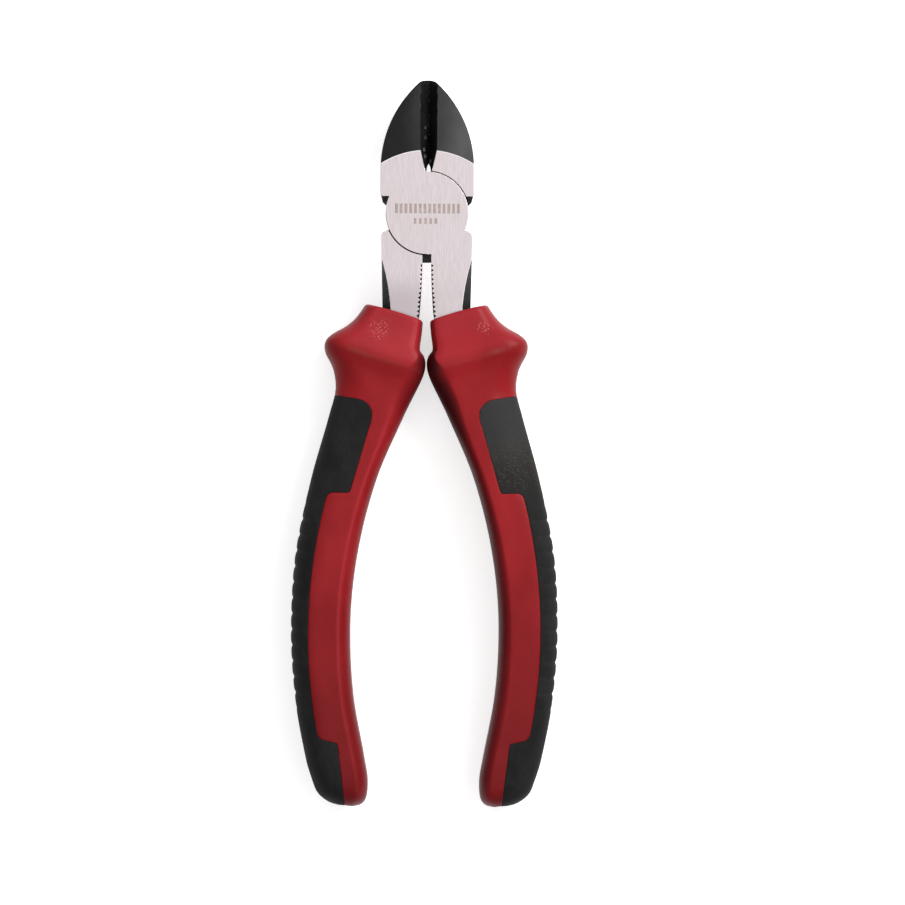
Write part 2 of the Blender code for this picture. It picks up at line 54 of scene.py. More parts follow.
# Joint and jaws, as the solids have them.
HEAD_HALF_THICKNESS = 5.5
BOSS_RADIUS = 10.25
LAP_EDGE = 10.8  # the lap's edges lie between these two
RELIEF_RADIUS = 21.4
RELIEF_CENTRE_Y = -5.8
EDGE_X = 0.3
EDGE_BREAK = 0.1  # the small bevel on every edge
RIVET_HEAD_RADIUS = 4.8
RIVET_RADIUS = 3.6
RIVET_HEAD_DEPTH = 1.2
RIVET_FRONT = 4.8
CUTTING_GAP = 0.06  # the solids' edges lie within this of the cutting line
CLOSED_GAP = 0.001  # what is left there on each side
THROAT_Y = 8.0
NICKS = ((-0.49, 21.4), (-0.47, 18.9), (-0.8, 15.8), (-0.54, 14.1), (0.71, 12.95))
NICK_SIZE = (0.6, 0.8, 1.3)
HEAD_RINGS = (  # radius, then how far down from the ring before, over the rivet's dished head
    (3.9, 0.0), (3.78, -0.1), (3.62, -0.1), (3.5, 0.1), (1.3, 0.0), (1.1, -0.12), (0.5, -0.22),
)
GROUND, BLACK, FORGED, WORN = range(4)  # the levers' materials, in order
TANG_TOP = -20.0
TOOTH_REACH = 3.5  # the teeth lie nearer the axis than this
TANG_GAP = 0.2

# Grips: depth below the rivet, then a distance from the axis or a half thickness.
GRIP_END = 147.0
GRIP_OUTER = (
    (20.0, 13.6), (23.0, 15.3), (26.3, 17.7), (28.3, 20.1), (29.8, 22.8), (31.3, 24.6), (33.2, 25.2),
    (35.2, 24.8), (37.4, 23.6), (39.6, 22.8), (43.0, 22.35), (50.0, 23.9), (66.0, 28.3), (85.0, 32.1),
    (103.7, 33.05), (121.0, 31.8), (135.5, 29.1), (141.0, 27.4), (143.6, 26.3), (145.5, 24.3), (146.7, 21.6),
    (147.0, 18.4),
)
GRIP_INNER = (
    (20.0, 0.9), (26.5, 0.9), (30.0, 1.15), (33.8, 1.6), (35.4, 0.6), (37.2, 0.15), (39.3, 0.4), (42.0, 1.4),
    (50.0, 5.3), (66.0, 12.1), (85.0, 16.8), (103.7, 18.4), (119.6, 17.5), (135.5, 14.6), (141.0, 13.8),
    (143.6, 13.9), (145.5, 14.4), (146.7, 15.6), (147.0, 16.8),
)
GRIP_THICKNESS = (
    (20.0, 7.2), (24.0, 7.4), (28.5, 8.1), (32.5, 9.4), (35.6, 10.0), (37.6, 9.4), (40.0, 8.7), (44.0, 8.3),
    (52.0, 8.5), (66.0, 9.4), (80.0, 10.0), (134.0, 10.0), (140.0, 9.7), (143.6, 8.9), (145.5, 7.6),
    (146.7, 5.8), (147.0, 4.6),
)
INNER_CORNER = (
    (20.0, 1.2), (31.0, 1.5), (33.5, 2.4), (36.3, 4.1), (44.0, 4.3), (49.0, 3.8), (57.0, 3.2), (66.0, 3.0),
    (85.0, 3.2), (120.0, 3.3), (147.0, 3.0),
)
OUTER_CORNER = (
    (20.0, 3.0), (33.0, 5.0), (40.0, 7.0), (47.0, 9.5), (62.0, 9.0), (75.0, 7.0), (104.0, 6.5),
    (135.0, 8.0),
)
OUTER_CORNER_DEPTH = ((20.0, 4.6), (36.0, 5.0), (47.0, 6.0), (147.0, 6.0))
INNER_CORNER_DEPTH = 4.6
CORNER_STEPS = 12
FLAT_STEPS = 8
# Depths at which the painted shade on the grips' inner sides starts and fades, and the painted highlight on
# their inner edges comes in.
PAINTED_SHADE_STARTS = (31.0, 37.0)
PAINTED_LIGHT_FADES = (42.0, 62.0)
HIGHLIGHT_SLOPE = 0.38  # how far the painted highlight on the inner edge leans towards the other grip
CREASE = 1.35  # above 1 the inner corners meet the flats in a soft crease
RING_SLANT = 0.294
SLANT_CENTRE = 12.0
SLANT_ENDS = (36.0, 62.0)
RIM = 23.1
RIM_BOW = 0.0064
BOW_CENTRE = 7.5
RIM_ROUNDING = 0.6
GUARD = 33.0

# Overmould.
SKIN = 1.8
RECESS = 2.0
SEAM_GAP = 0.04
LIP = 0.1  # rounding of the edges on both sides of the seam
WELD = 0.14
PATCH_TOP = 42.7
STRIP_WIDEST = 28.75
STRIP_WIDEST_AT = 104.0
STRIP_CURVE = 0.0038
RIBS = (72.0, 123.0)
RIB_PITCH = 3.9
RIB_DEPTH = 0.3
RIB_NOTCH = 0.5
RIB_REACH = 5.5  # how far in from the outer edge the notches run

# Studio, in metres and watts: each light's place, what it faces, its size and its power.
FLOOR_SIZE = 14.0
SOFTBOX = ((0.3, 0.26, 0.33), (0.0, 0.03, 0.01), 0.32, 2.2)
CEILING = ((0.45, 0.1, 3.2), (0.45, 0.1, 0.0), 4.2, 52.0)
BELOW = 0.06  # how bright the walls are below the floor, at the sides and overhead
SIDES = 0.42
OVERHEAD = 0.14

# Camera, in metres.
FRAMED = 0.2245
CAMERA_HEIGHT = 2.5
CAMERA_ROLL = math.radians(0.376)
FRAME_CENTRE = (0.0063, -0.0593)  # from the rivet's axis, along the picture's own axes
SENSOR = 36.0


# Working in edit mode.

def deselect():
    if bpy.context.object and bpy.context.object.mode != "OBJECT":
        bpy.ops.object.mode_set(mode="OBJECT")
    bpy.ops.object.select_all(action="DESELECT")


def pick(obj):
    deselect()
    obj.select_set(True)
    bpy.context.view_layer.objects.active = obj
    return obj


def added(name):
    """The object that the last operator added, with its name."""
    obj = bpy.context.object
    obj.name = name
    obj.data.name = name
    return obj


def edit(obj, mode="VERT"):
    pick(obj)
    bpy.ops.object.mode_set(mode="EDIT")
    bpy.ops.mesh.select_mode(type=mode)
    bpy.ops.mesh.select_all(action="DESELECT")


def leave_edit():
    bpy.ops.object.mode_set(mode="OBJECT")


def apply(obj, kind, **settings):
    """Adds a modifier to an object and applies it."""
    pick(obj)
    modifier = obj.modifiers.new(kind.lower(), kind)
    for name, value in settings.items():
        setattr(modifier, name, value)
    bpy.ops.object.modifier_apply(modifier=modifier.name)
    return obj


def cut(obj, cutter, operation="DIFFERENCE", material_mode="INDEX"):
    """Applies a Boolean with a solid that is then removed."""
    apply(obj, "BOOLEAN", operation=operation, object=cutter, solver="EXACT", material_mode=material_mode)
    bpy.data.objects.remove(cutter, do_unlink=True)
    return obj


def copy_of(source, name):
    pick(source)
    mesh = source.data.copy()
    made = bpy.data.objects.new(name, mesh)
    mesh.name = name
    bpy.context.scene.collection.objects.link(made)
    return made


def smooth_by_angle(obj, degrees):
    pick(obj)
    bpy.ops.object.shade_smooth_by_angle(angle=math.radians(degrees))


def placed(x, y, z):
    """A point given in millimetres about the rivet's axis, in the frame."""
    return PIVOT + Vector((x, y, z)) * MM


# Curves.

def smooth(points, at):
    """The value at a place along a smooth curve through (place, value) points, held level past its ends."""
    if at <= points[0][0]:
        return points[0][1]
    if at >= points[-1][0]:
        return points[-1][1]
    index = max(i for i, point in enumerate(points) if point[0] <= at)
    last = len(points) - 1
    (x0, y0), (x1, y1) = points[index], points[index + 1]
    step = x1 - x0

    def tangent(i):
        before, after = points[max(i - 1, 0)], points[min(i + 1, last)]
        here = points[i]
        if (here[1] - before[1]) * (after[1] - here[1]) <= 0:
            return 0.0
        return (after[1] - before[1]) / (after[0] - before[0])

    t = (at - x0) / step
    start = (2 * t**3 - 3 * t**2 + 1) * y0 + (t**3 - 2 * t**2 + t) * step * tangent(index)
    end = (3 * t**2 - 2 * t**3) * y1 + (t**3 - t**2) * step * tangent(index + 1)
    return start + end


def eased(value, low, high):
    t = min(max((value - low) / (high - low), 0.0), 1.0)
    return t * t * (3.0 - 2.0 * t)


def rounded(corner, before, after, radius, steps=4):
    """The arc that rounds a corner between its two neighbours."""
    corner = Vector(corner)
    to_before = (Vector(before) - corner).normalized()
    to_after = (Vector(after) - corner).normalized()
    half = to_before.angle(to_after) / 2
    reach = radius / math.tan(half)
    middle = corner + (to_before + to_after).normalized() * (radius / math.sin(half))
    first = corner + to_before * reach - middle
    second = corner + to_after * reach - middle
    spokes = [first.slerp(second, i / steps).normalized() * radius for i in range(steps + 1)]
    return [tuple(middle + spoke) for spoke in spokes]


def grown(outline, amount):
    """A counter-clockwise outline moved outwards by an amount."""
    moved = []
    for i, point in enumerate(outline):
        before = Vector(point) - Vector(outline[i - 1])
        after = Vector(outline[(i + 1) % len(outline)]) - Vector(point)
        across = (before.normalized() + after.normalized()).normalized()
        moved.append((point[0] + across.y * amount, point[1] - across.x * amount))
    return moved


# Solids.

def plate(name, outline, half_thickness):
    """A flat outline with thickness on both sides of the middle plane."""
    deselect()
    bpy.ops.mesh.primitive_circle_add(vertices=len(outline), fill_type="NGON", radius=MM)
    solid = added(name)
    for vertex, (x, y) in zip(solid.data.vertices, outline):
        vertex.co = placed(x, y, -half_thickness)
    solid.location = (0.0, 0.0, 0.0)
    edit(solid, "FACE")
    bpy.ops.mesh.select_all(action="SELECT")
    up = {"value": (0.0, 0.0, 2 * half_thickness * MM)}
    bpy.ops.mesh.extrude_region_move(TRANSFORM_OT_translate=up)
    bpy.ops.mesh.select_all(action="SELECT")
    bpy.ops.mesh.normals_make_consistent(inside=False)
    leave_edit()
    return solid


def rolled_skin(name, rings):
    """A grid rolled into a closed skin over rings of equally many points."""
    around = len(rings[0])
    deselect()
    bpy.ops.mesh.primitive_grid_add(x_subdivisions=around, y_subdivisions=len(rings) - 1, size=MM)
    skin = added(name)
    for index, vertex in enumerate(skin.data.vertices):
        row, column = divmod(index, around + 1)
        vertex.co = placed(*rings[row][column % around])
    edit(skin)
    bpy.ops.mesh.select_all(action="SELECT")
    bpy.ops.mesh.remove_doubles(threshold=1e-7)
    bpy.ops.mesh.select_all(action="SELECT")
    bpy.ops.mesh.fill_holes(sides=0)
    bpy.ops.mesh.select_all(action="SELECT")
    bpy.ops.mesh.normals_make_consistent(inside=False)
    leave_edit()
    return skin


# Grips, drawn at the right.

def slant(s):
    return RING_SLANT * (1.0 - eased(s, *SLANT_ENDS))


def ring_depth(s, x):
    """How far below the rivet a ring lies at a distance from the axis."""
    bow = RIM_BOW * max(GUARD - s, 0.0) / (GUARD - RIM)
    return s - slant(s) * (x - SLANT_CENTRE) + bow * (x - BOW_CENTRE) ** 2


def edge_on_ring(profile, s):
    """The distance from the axis at which a sloping ring meets an edge of the outline."""
    x = smooth(profile, s)
    for _ in range(12):
        x = smooth(profile, ring_depth(s, x))
    return x


def corner(x, z, across, deep, start, power):
    """A quarter of a rounded section, from one flat to the next."""
    points = []
    for i in range(CORNER_STEPS + 1):
        angle = math.radians(start + 90.0 * i / CORNER_STEPS)
        c, s = math.cos(angle), math.sin(angle)
        points.append((
            x + across * math.copysign(abs(c) ** power, c),
            z + deep * math.copysign(abs(s) ** power, s),
        ))
    return points


def notch(s):
    """How deep the grip's outer edge is cut between two ribs."""
    if not RIBS[0] - RIB_PITCH / 2 < s < RIBS[1] + RIB_PITCH / 2:
        return 0.0
    off = (s - RIBS[0] + RIB_PITCH / 2) % RIB_PITCH - RIB_PITCH / 2
    swell = 0.1 + 0.1 * math.cos(math.tau * off / RIB_PITCH)
    rise = eased(s, RIBS[0] - RIB_PITCH / 2, RIBS[0] + RIB_PITCH)
    fade = min(rise, 1.0 - eased(s, RIBS[1] - RIB_PITCH, RIBS[1] + RIB_PITCH / 2))
    return RIB_DEPTH * (0.85 * math.exp(-((off / RIB_NOTCH) ** 2)) + swell) * fade


def grip_ring(s, inset, ribbed=False):
    """A rounded section of the grip at a place along it, inset all round."""
    outer = edge_on_ring(GRIP_OUTER, s) - inset
    inner = edge_on_ring(GRIP_INNER, s) + inset
    half = smooth(GRIP_THICKNESS, s) - inset
    width = outer - inner
    outer_x = min(smooth(OUTER_CORNER, s) - inset / 2, width * 0.48)
    inner_x = min(smooth(INNER_CORNER, s) - inset / 2, width * 0.48)
    inner_z = min(INNER_CORNER_DEPTH - inset / 2, half * 0.9)
    outer_z = min(smooth(OUTER_CORNER_DEPTH, s) - inset / 2, half * 0.9)
    pulled_in = max(s - GRIP_END + 10.0, 0.0) * inset / 10.0
    crease = 1.0 + (CREASE - 1.0) * (1.0 - eased(s, GRIP_END - 8.0, GRIP_END))
    corners = (
        corner(outer - outer_x, half - outer_z, outer_x, outer_z, 0.0, 1.0),
        corner(inner + inner_x, half - inner_z, inner_x, inner_z, 90.0, crease),
        corner(inner + inner_x, inner_z - half, inner_x, inner_z, 180.0, crease),
        corner(outer - outer_x, outer_z - half, outer_x, outer_z, 270.0, 1.0),
    )
    section = []
    for points, following in zip(corners, corners[1:] + corners[:1]):
        section += points
        (x0, z0), (x1, z1) = points[-1], following[0]
        steps = [i / FLAT_STEPS for i in range(1, FLAT_STEPS)]
        section += [(x0 + (x1 - x0) * t, z0 + (z1 - z0) * t) for t in steps]
    ring = []
    for x, z in section:
        if ribbed:
            x -= notch(s) * eased(x, outer - RIB_REACH, outer - 1.0)
        ring.append((x, pulled_in - ring_depth(s, x), z))
    return ring


def spread(start, end, step):
    count = max(round((end - start) / step), 1)
    return [start + (end - start) * i / count for i in range(count)]


def grip_rings(inset=0.0, ribbed=False):
    """Sections of the whole grip, with a rounded rim where the sleeve is open to the lever."""
    rim = []
    for i in range(5):
        angle = math.radians(22.5 * i)
        rounding = RIM_ROUNDING * (1.0 - math.sin(angle))
        rim.append(grip_ring(RIM + RIM_ROUNDING * (1.0 - math.cos(angle)), inset + rounding))
    rib_step = RIB_PITCH / 13 if ribbed else 1.3
    stations = spread(RIM + RIM_ROUNDING + 0.5, GUARD - 2.0, 0.8) + spread(GUARD - 2.0, 42.0, 0.5)
    stations += spread(42.0, RIBS[0] - 2.0, 1.2) + spread(RIBS[0] - 2.0, RIBS[1] + 2.0, rib_step)
    stations += spread(RIBS[1] + 2.0, GRIP_END - 10.0, 1.2)
    stations += [GRIP_END - 10.0 + 10.0 * math.sin(math.pi / 2 * i / 14) for i in range(15)]
    return rim + [grip_ring(s, inset, ribbed) for s in stations]


def inlay_outline(grow):
    """The edge of the overmould seen from the front: a wide patch at each end, and a strip between them."""
    top_outer = (38.0, -PATCH_TOP)
    top_inner = (12.2, -46.9)
    notch_inner = (18.7, -69.4)
    notch_outer = (24.1, -69.3)
    strip = []
    for i in range(15):
        depth = 72.5 + (127.0 - 72.5) * i / 14
        strip.append((STRIP_WIDEST - STRIP_CURVE * (depth - STRIP_WIDEST_AT) ** 2, -depth))
    low_outer = (26.0, -130.3)
    low_inner = (21.3, -131.3)
    bottom = (19.0, -150.0)
    outline = [top_outer]
    outline += rounded(top_inner, top_outer, notch_inner, 4.0, 11)
    outline += rounded(notch_inner, top_inner, notch_outer, 0.8, 5)
    outline += rounded(notch_outer, notch_inner, strip[0], 1.8, 7)
    outline += strip
    outline += rounded(low_outer, strip[-1], low_inner, 2.3, 9)
    outline += rounded(low_inner, low_outer, bottom, 0.8, 5)
    outline += [bottom, (38.0, -150.0)]
    return grown(outline, grow)


def tang_cutter():
    """The lever's own tang, a little larger, which cuts the sleeve's mouth and pocket."""
    tang = copy_of(frame["nodes"]["front_lever"], "tang")
    edit(tang)
    bpy.ops.mesh.select_all(action="SELECT")
    bpy.ops.mesh.remove_doubles(threshold=1e-6)
    bpy.ops.mesh.select_all(action="SELECT")
    bpy.ops.mesh.bisect(
        plane_co=placed(0.0, TANG_TOP, 0.0), plane_no=(0.0, 1.0, 0.0),
        use_fill=True, clear_outer=True, threshold=1e-7,
    )
    leave_edit()
    return apply(tang, "DISPLACE", strength=TANG_GAP * MM, mid_level=0.0)


def tidy_seam(obj):
    """Merges the slivers that a cut leaves, rounds the edges along it and shades the piece."""
    apply(obj, "WELD", merge_threshold=WELD * MM)
    apply(obj, "BEVEL", width=LIP * MM, segments=2, limit_method="ANGLE", angle_limit=math.radians(50.0),
          use_clamp_overlap=False)
    smooth_by_angle(obj, 40.0)
    return obj


def grip_core():
    core = rolled_skin("right_grip_sleeve", grip_rings())
    recess = plate("recess", inlay_outline(SEAM_GAP / 2), 14.0)
    cut(recess, rolled_skin("floor", grip_rings(RECESS)))
    cut(core, recess)
    cut(core, tang_cutter())
    return tidy_seam(core)


def grip_overmould():
    skin = rolled_skin("right_grip_inlay", grip_rings(ribbed=True))
    cut(skin, plate("within", inlay_outline(-SEAM_GAP / 2), 14.0), "INTERSECT")
    cut(skin, rolled_skin("inside", grip_rings(SKIN)))
    return tidy_seam(skin)


def mark_inner_side(piece, strength, kept, sheen_and_wear):
    """Stores painted shade on the side towards the other grip, and a painted highlight along its edge.

    The painted shade lies at the guard, and a share of it is kept further down.
    """
    mesh = piece.data
    painted_shade = mesh.attributes.new("painted_shade", "FLOAT", "POINT")
    painted_edge_highlight = mesh.attributes.new("painted_edge_highlight", "FLOAT", "POINT")
    for vertex in mesh.vertices:
        inwards = max(-math.copysign(1.0, vertex.co.x) * vertex.normal.x, 0.0)
        depth = (PIVOT.y - vertex.co.y) / MM
        amount = eased(depth, *PAINTED_SHADE_STARTS) * (1.0 - (1.0 - kept) * eased(depth, *PAINTED_LIGHT_FADES))
        # painted shade: faces turned towards the other grip are darkened
        painted_shade.data[vertex.index].value = strength * inwards * amount
        # painted highlight: a paler band where the inner corner turns towards the other grip
        band = math.exp(-((inwards - HIGHLIGHT_SLOPE) / 0.2) ** 2) * eased(depth, *PAINTED_LIGHT_FADES)
        painted_edge_highlight.data[vertex.index].value = sheen_and_wear * band


def mirrored(source, name):
    """The same piece on the left."""
    made = copy_of(source, name)
    edit(made)
    bpy.ops.mesh.select_all(action="SELECT")
    bpy.ops.transform.resize(value=(-1.0, 1.0, 1.0), center_override=(0.0, 0.0, 0.0))
    bpy.ops.mesh.flip_normals()
    leave_edit()
    return made


# Levers and rivet.

def lever(node, name):
    """A copy of a lever with its cutting edge closed up to the other's and its edges broken."""
    piece = copy_of(frame["nodes"][node], name)
    edit(piece, "EDGE")
    bpy.ops.mesh.select_all(action="SELECT")
    bpy.ops.mesh.remove_doubles(threshold=1e-6)
    bpy.ops.mesh.select_all(action="SELECT")
    bpy.ops.mesh.dissolve_limited(angle_limit=math.radians(0.2))
    leave_edit()
    for vertex in piece.data.vertices:
        across = vertex.co.x / MM - EDGE_X
        if abs(across) < CUTTING_GAP and vertex.co.y > PIVOT.y + THROAT_Y * MM:
            vertex.co.x = (EDGE_X + math.copysign(CLOSED_GAP, across)) * MM
    apply(
        piece, "BEVEL", width=EDGE_BREAK * MM, segments=2, limit_method="ANGLE",
        angle_limit=math.radians(30.0), use_clamp_overlap=False, harden_normals=False,
    )
    smooth_by_angle(piece, 8.0)
    return piece


def nick(piece, x, y):
    """A small dent in the groove beside the cutting edge, as hard wire leaves it."""
    _, place, _, _ = piece.ray_cast(placed(x, y, 20.0), Vector((0.0, 0.0, -1.0)))
    deselect()
    bpy.ops.mesh.primitive_uv_sphere_add(segments=4, ring_count=2, radius=MM, location=place)
    dent = added("dent")
    bpy.ops.transform.resize(value=NICK_SIZE, center_override=place)
    bpy.ops.object.transform_apply(location=True, rotation=True, scale=True)
    for face in dent.data.polygons:
        face.material_index = WORN
    cut(piece, dent)


def turned_rivet():
    """The rivet, with a dished and ringed head at the back."""
    low = -HEAD_HALF_THICKNESS
    head = low + RIVET_HEAD_DEPTH
    deselect()
    bpy.ops.mesh.primitive_cylinder_add(
        vertices=96, radius=RIVET_RADIUS * MM, depth=(RIVET_FRONT - head) * MM,
        location=placed(0.0, 0.0, (RIVET_FRONT + head) / 2), end_fill_type="NGON",
    )
    piece = added("rivet_turned")
    bpy.ops.object.transform_apply(location=True, rotation=True, scale=True)
    edit(piece, "FACE")
    leave_edit()
    for face in piece.data.polygons:
        face.select = face.normal.z < -0.9
    bpy.ops.object.mode_set(mode="EDIT")
    centre = placed(0.0, 0.0, head)

    def step(down, scale):
        bpy.ops.mesh.extrude_region_move(TRANSFORM_OT_translate={"value": (0.0, 0.0, -down * MM)})
        bpy.ops.transform.resize(value=(scale, scale, 1.0), center_override=centre)

    rim = RIVET_HEAD_DEPTH - 0.12
    step(rim, (RIVET_HEAD_RADIUS - 0.03) / RIVET_RADIUS)
    step(0.12, (RIVET_HEAD_RADIUS - 0.15) / (RIVET_HEAD_RADIUS - 0.03))
    radius = RIVET_HEAD_RADIUS - 0.15
    for target, down in HEAD_RINGS:
        step(down, target / radius)
        radius = target
    leave_edit()
    smooth_by_angle(piece, 30.0)
    return piece


# Finishes.

class Finish:
    """A procedural material being built: a shader and the nodes that feed it."""

    def __init__(self, name, roughness, metallic=0.0, **constants):
        self.material = bpy.data.materials.new(name)
        self.material.use_nodes = True
        self.nodes = self.material.node_tree.nodes
        self.links = self.material.node_tree.links
        self.shader = self.nodes["Principled BSDF"]
        self.shader.inputs["Roughness"].default_value = roughness
        self.shader.inputs["Metallic"].default_value = metallic
        for socket, value in constants.items():
            self.shader.inputs[socket.replace("_", " ")].default_value = value
        place = self.nodes.new("ShaderNodeTexCoord").outputs["Object"]
        self.place = place
        split = self.node("ShaderNodeSeparateXYZ", Vector=place)
        millimetres = [self.maths("MULTIPLY", split.outputs[axis], 1000.0) for axis in "XYZ"]
        self.x = millimetres[0]
        self.y = self.maths("SUBTRACT", millimetres[1], PIVOT_DEPTH)
        self.z = self.maths("SUBTRACT", millimetres[2], PIVOT.z * 1000.0)
        self.side = self.maths("ABSOLUTE", self.x)

    def node(self, kind, settings=None, **inputs):
        made = self.nodes.new(kind)
        for name, value in (settings or {}).items():
            setattr(made, name, value)
        for name, value in inputs.items():
            self.give(made.inputs[name.replace("_", " ")], value)
        return made

    def give(self, socket, value):
        if isinstance(value, bpy.types.NodeSocket):
            self.links.new(value, socket)
        else:
            socket.default_value = value

    def maths(self, operation, first, second=0.0, third=0.0):
        made = self.node("ShaderNodeMath", {"operation": operation})
        for socket, value in zip(made.inputs, (first, second, third)):
            self.give(socket, value)
        return made.outputs[0]

    def noise(self, stretch, detail=3.0, roughness=0.5):
        """Noise with so many waves to the metre along each axis."""
        turned = self.node("ShaderNodeMapping", Vector=self.place, Scale=stretch)
        waves = {"Scale": 1.0, "Detail": detail, "Roughness": roughness}
        return self.node("ShaderNodeTexNoise", Vector=turned.outputs[0], **waves).outputs[0]

    def band(self, value, low, high, bottom=0.0, top=1.0):
        """A value eased from bottom to top as it goes from low to high."""
        if not isinstance(low, bpy.types.NodeSocket) and low > high:
            low, high, bottom, top = high, low, top, bottom
        made = self.node("ShaderNodeMapRange", {"interpolation_type": "SMOOTHSTEP"})
        for socket, given in zip(made.inputs, (value, low, high, bottom, top)):
            self.give(socket, given)
        return made.outputs[0]

    def between(self, value, low, high, soft):
        rise = self.band(value, low - soft, low + soft)
        fall = self.band(value, high - soft, high + soft, 1.0, 0.0)
        return self.maths("MULTIPLY", rise, fall)

    def both(self, *masks):
        result = masks[0]
        for mask in masks[1:]:
            result = self.maths("MULTIPLY", result, mask)
        return result

    def mix(self, amount, first, second):
        made = self.node("ShaderNodeMix", {"data_type": "RGBA"})
        self.give(made.inputs[0], amount)
        self.give(made.inputs[6], first)
        self.give(made.inputs[7], second)
        return made.outputs[2]

    def bump(self, *heights):
        """Bumps from (height, depth in millimetres, strength)."""
        normal = None
        for height, depth, strength in heights:
            made = self.node("ShaderNodeBump", Height=height, Distance=depth * MM, Strength=strength)
            if normal:
                self.links.new(normal, made.inputs["Normal"])
            normal = made.outputs[0]
        self.links.new(normal, self.shader.inputs["Normal"])

    def colour(self, value):
        self.give(self.shader.inputs["Base Color"], value)

    def rough(self, value):
        self.give(self.shader.inputs["Roughness"], value)

    def spot(self, x, y, radius):
        """A mask that fades out with the distance from a place on the plan."""
        across = self.maths("POWER", self.maths("SUBTRACT", self.x, x), 2.0)
        along = self.maths("POWER", self.maths("SUBTRACT", self.y, y), 2.0)
        distance = self.maths("SQRT", self.maths("ADD", across, along))
        return self.band(distance, radius * 0.3, radius, 1.0, 0.0)


def rgb(red, green, blue):
    return (red, green, blue, 1.0)


def ground_steel(name, marked):
    """Steel ground along the tool, with etched bars on the joint's face where it is marked."""
    finish = Finish(name, 0.34, 1.0)
    fine = finish.noise((6500.0, 420.0, 6500.0), 3.0)
    coarse = finish.noise((2200.0, 110.0, 2200.0), 2.0)
    cloud = finish.noise((120.0, 60.0, 120.0), 2.0)
    grain = finish.maths("ADD", finish.maths("MULTIPLY", fine, 0.7), finish.maths("MULTIPLY", coarse, 0.3))
    base = finish.mix(finish.band(grain, 0.34, 0.66), rgb(0.6, 0.535, 0.55), rgb(0.7, 0.63, 0.65))
    base = finish.mix(finish.band(cloud, 0.4, 0.75, 0.0, 0.3), base, rgb(0.62, 0.54, 0.54))
    # painted shade: the tangs are made darker, most on the left, away from the light
    leftwards = finish.band(finish.x, 6.0, -6.0, 0.25, 1.0)
    tang = finish.maths("MULTIPLY", finish.band(finish.y, -14.0, -22.0), leftwards)
    base = finish.mix(tang, base, rgb(0.51, 0.45, 0.465))
    # painted highlight: a thin pale line along the relief arc, where its edge catches the light
    across = finish.maths("POWER", finish.x, 2.0)
    along = finish.maths("POWER", finish.maths("SUBTRACT", finish.y, RELIEF_CENTRE_Y), 2.0)
    rim = finish.between(finish.maths("SQRT", finish.maths("ADD", across, along)),
                         RELIEF_RADIUS - 0.2, RELIEF_RADIUS + 0.3, 0.06)
    base = finish.mix(finish.maths("MULTIPLY", rim, 0.7), base, rgb(0.9, 0.85, 0.86))
    if marked:
        mask = etched_bars(finish)
        base = finish.mix(mask, base, rgb(0.38, 0.3, 0.27))
        finish.rough(finish.maths("MULTIPLY_ADD", mask, 0.2, finish.band(grain, 0.3, 0.7, 0.42, 0.3)))
    else:
        finish.rough(finish.band(grain, 0.3, 0.7, 0.42, 0.3))
    finish.colour(base)
    finish.bump((grain, 0.02, 0.35))
    return finish.material


def bars(finish, left, right, low, high, pitch, filled):
    """A row of upright bars."""
    along = finish.maths("FRACT", finish.maths("DIVIDE", finish.maths("SUBTRACT", finish.x, left), pitch))
    return finish.both(
        finish.between(along, 0.04, 0.04 + filled, 0.04),
        finish.between(finish.x, left, right, 0.02),
        finish.between(finish.y, low, high, 0.05),
    )


def etched_bars(finish):
    front = finish.band(finish.z, HEAD_HALF_THICKNESS - 0.1, HEAD_HALF_THICKNESS - 0.05)
    upper = bars(finish, -8.0, 8.6, -0.1, 2.3, 1.18, 0.6)
    lower = bars(finish, -3.3, 3.1, -2.7, -1.3, 1.28, 0.5)
    patchy = finish.band(finish.noise((700.0, 700.0, 700.0), 2.0), 0.3, 0.5, 0.55, 0.85)
    return finish.both(finish.maths("MAXIMUM", upper, lower), front, patchy)


def blackened_steel():
    """Oxide-blackened forging, with painted light: paler, unevenly, towards the right of the right jaw and a
    little towards the left jaw's cutting edge.
    """
    finish = Finish("blackened_steel", 0.34, 0.0, Specular_IOR_Level=0.2)
    fine = finish.noise((1500.0, 1500.0, 1500.0), 4.0)
    cloud = finish.noise((160.0, 90.0, 160.0), 3.0)
    base = finish.mix(finish.band(cloud, 0.35, 0.7), rgb(0.005, 0.005, 0.0055), rgb(0.01, 0.01, 0.0115))
    # painted light: the jaws are made paler towards the right, where the light falls
    right_jaw = finish.band(finish.x, 0.0, 0.6)
    sheen_and_wear = finish.maths("MULTIPLY", finish.band(finish.x, 1.0, 9.0, 0.35, 0.85), right_jaw)
    left_jaw = finish.band(finish.x, 0.3, 0.0, 0.0, 0.15)
    inner = finish.maths("MULTIPLY", finish.band(finish.x, -7.0, -2.5), left_jaw)
    uneven = finish.band(cloud, 0.2, 0.7, 0.6, 1.0)
    sheen_and_wear = finish.maths("MULTIPLY", finish.maths("ADD", sheen_and_wear, inner), uneven)
    base = finish.mix(sheen_and_wear, base, rgb(0.085, 0.084, 0.084))
    base = finish.mix(finish.band(fine, 0.62, 0.75, 0.0, 0.2), base, rgb(0.08, 0.079, 0.079))
    finish.colour(base)
    finish.rough(finish.band(fine, 0.3, 0.7, 0.3, 0.42))
    finish.bump((fine, 0.01, 0.3))
    return finish.material


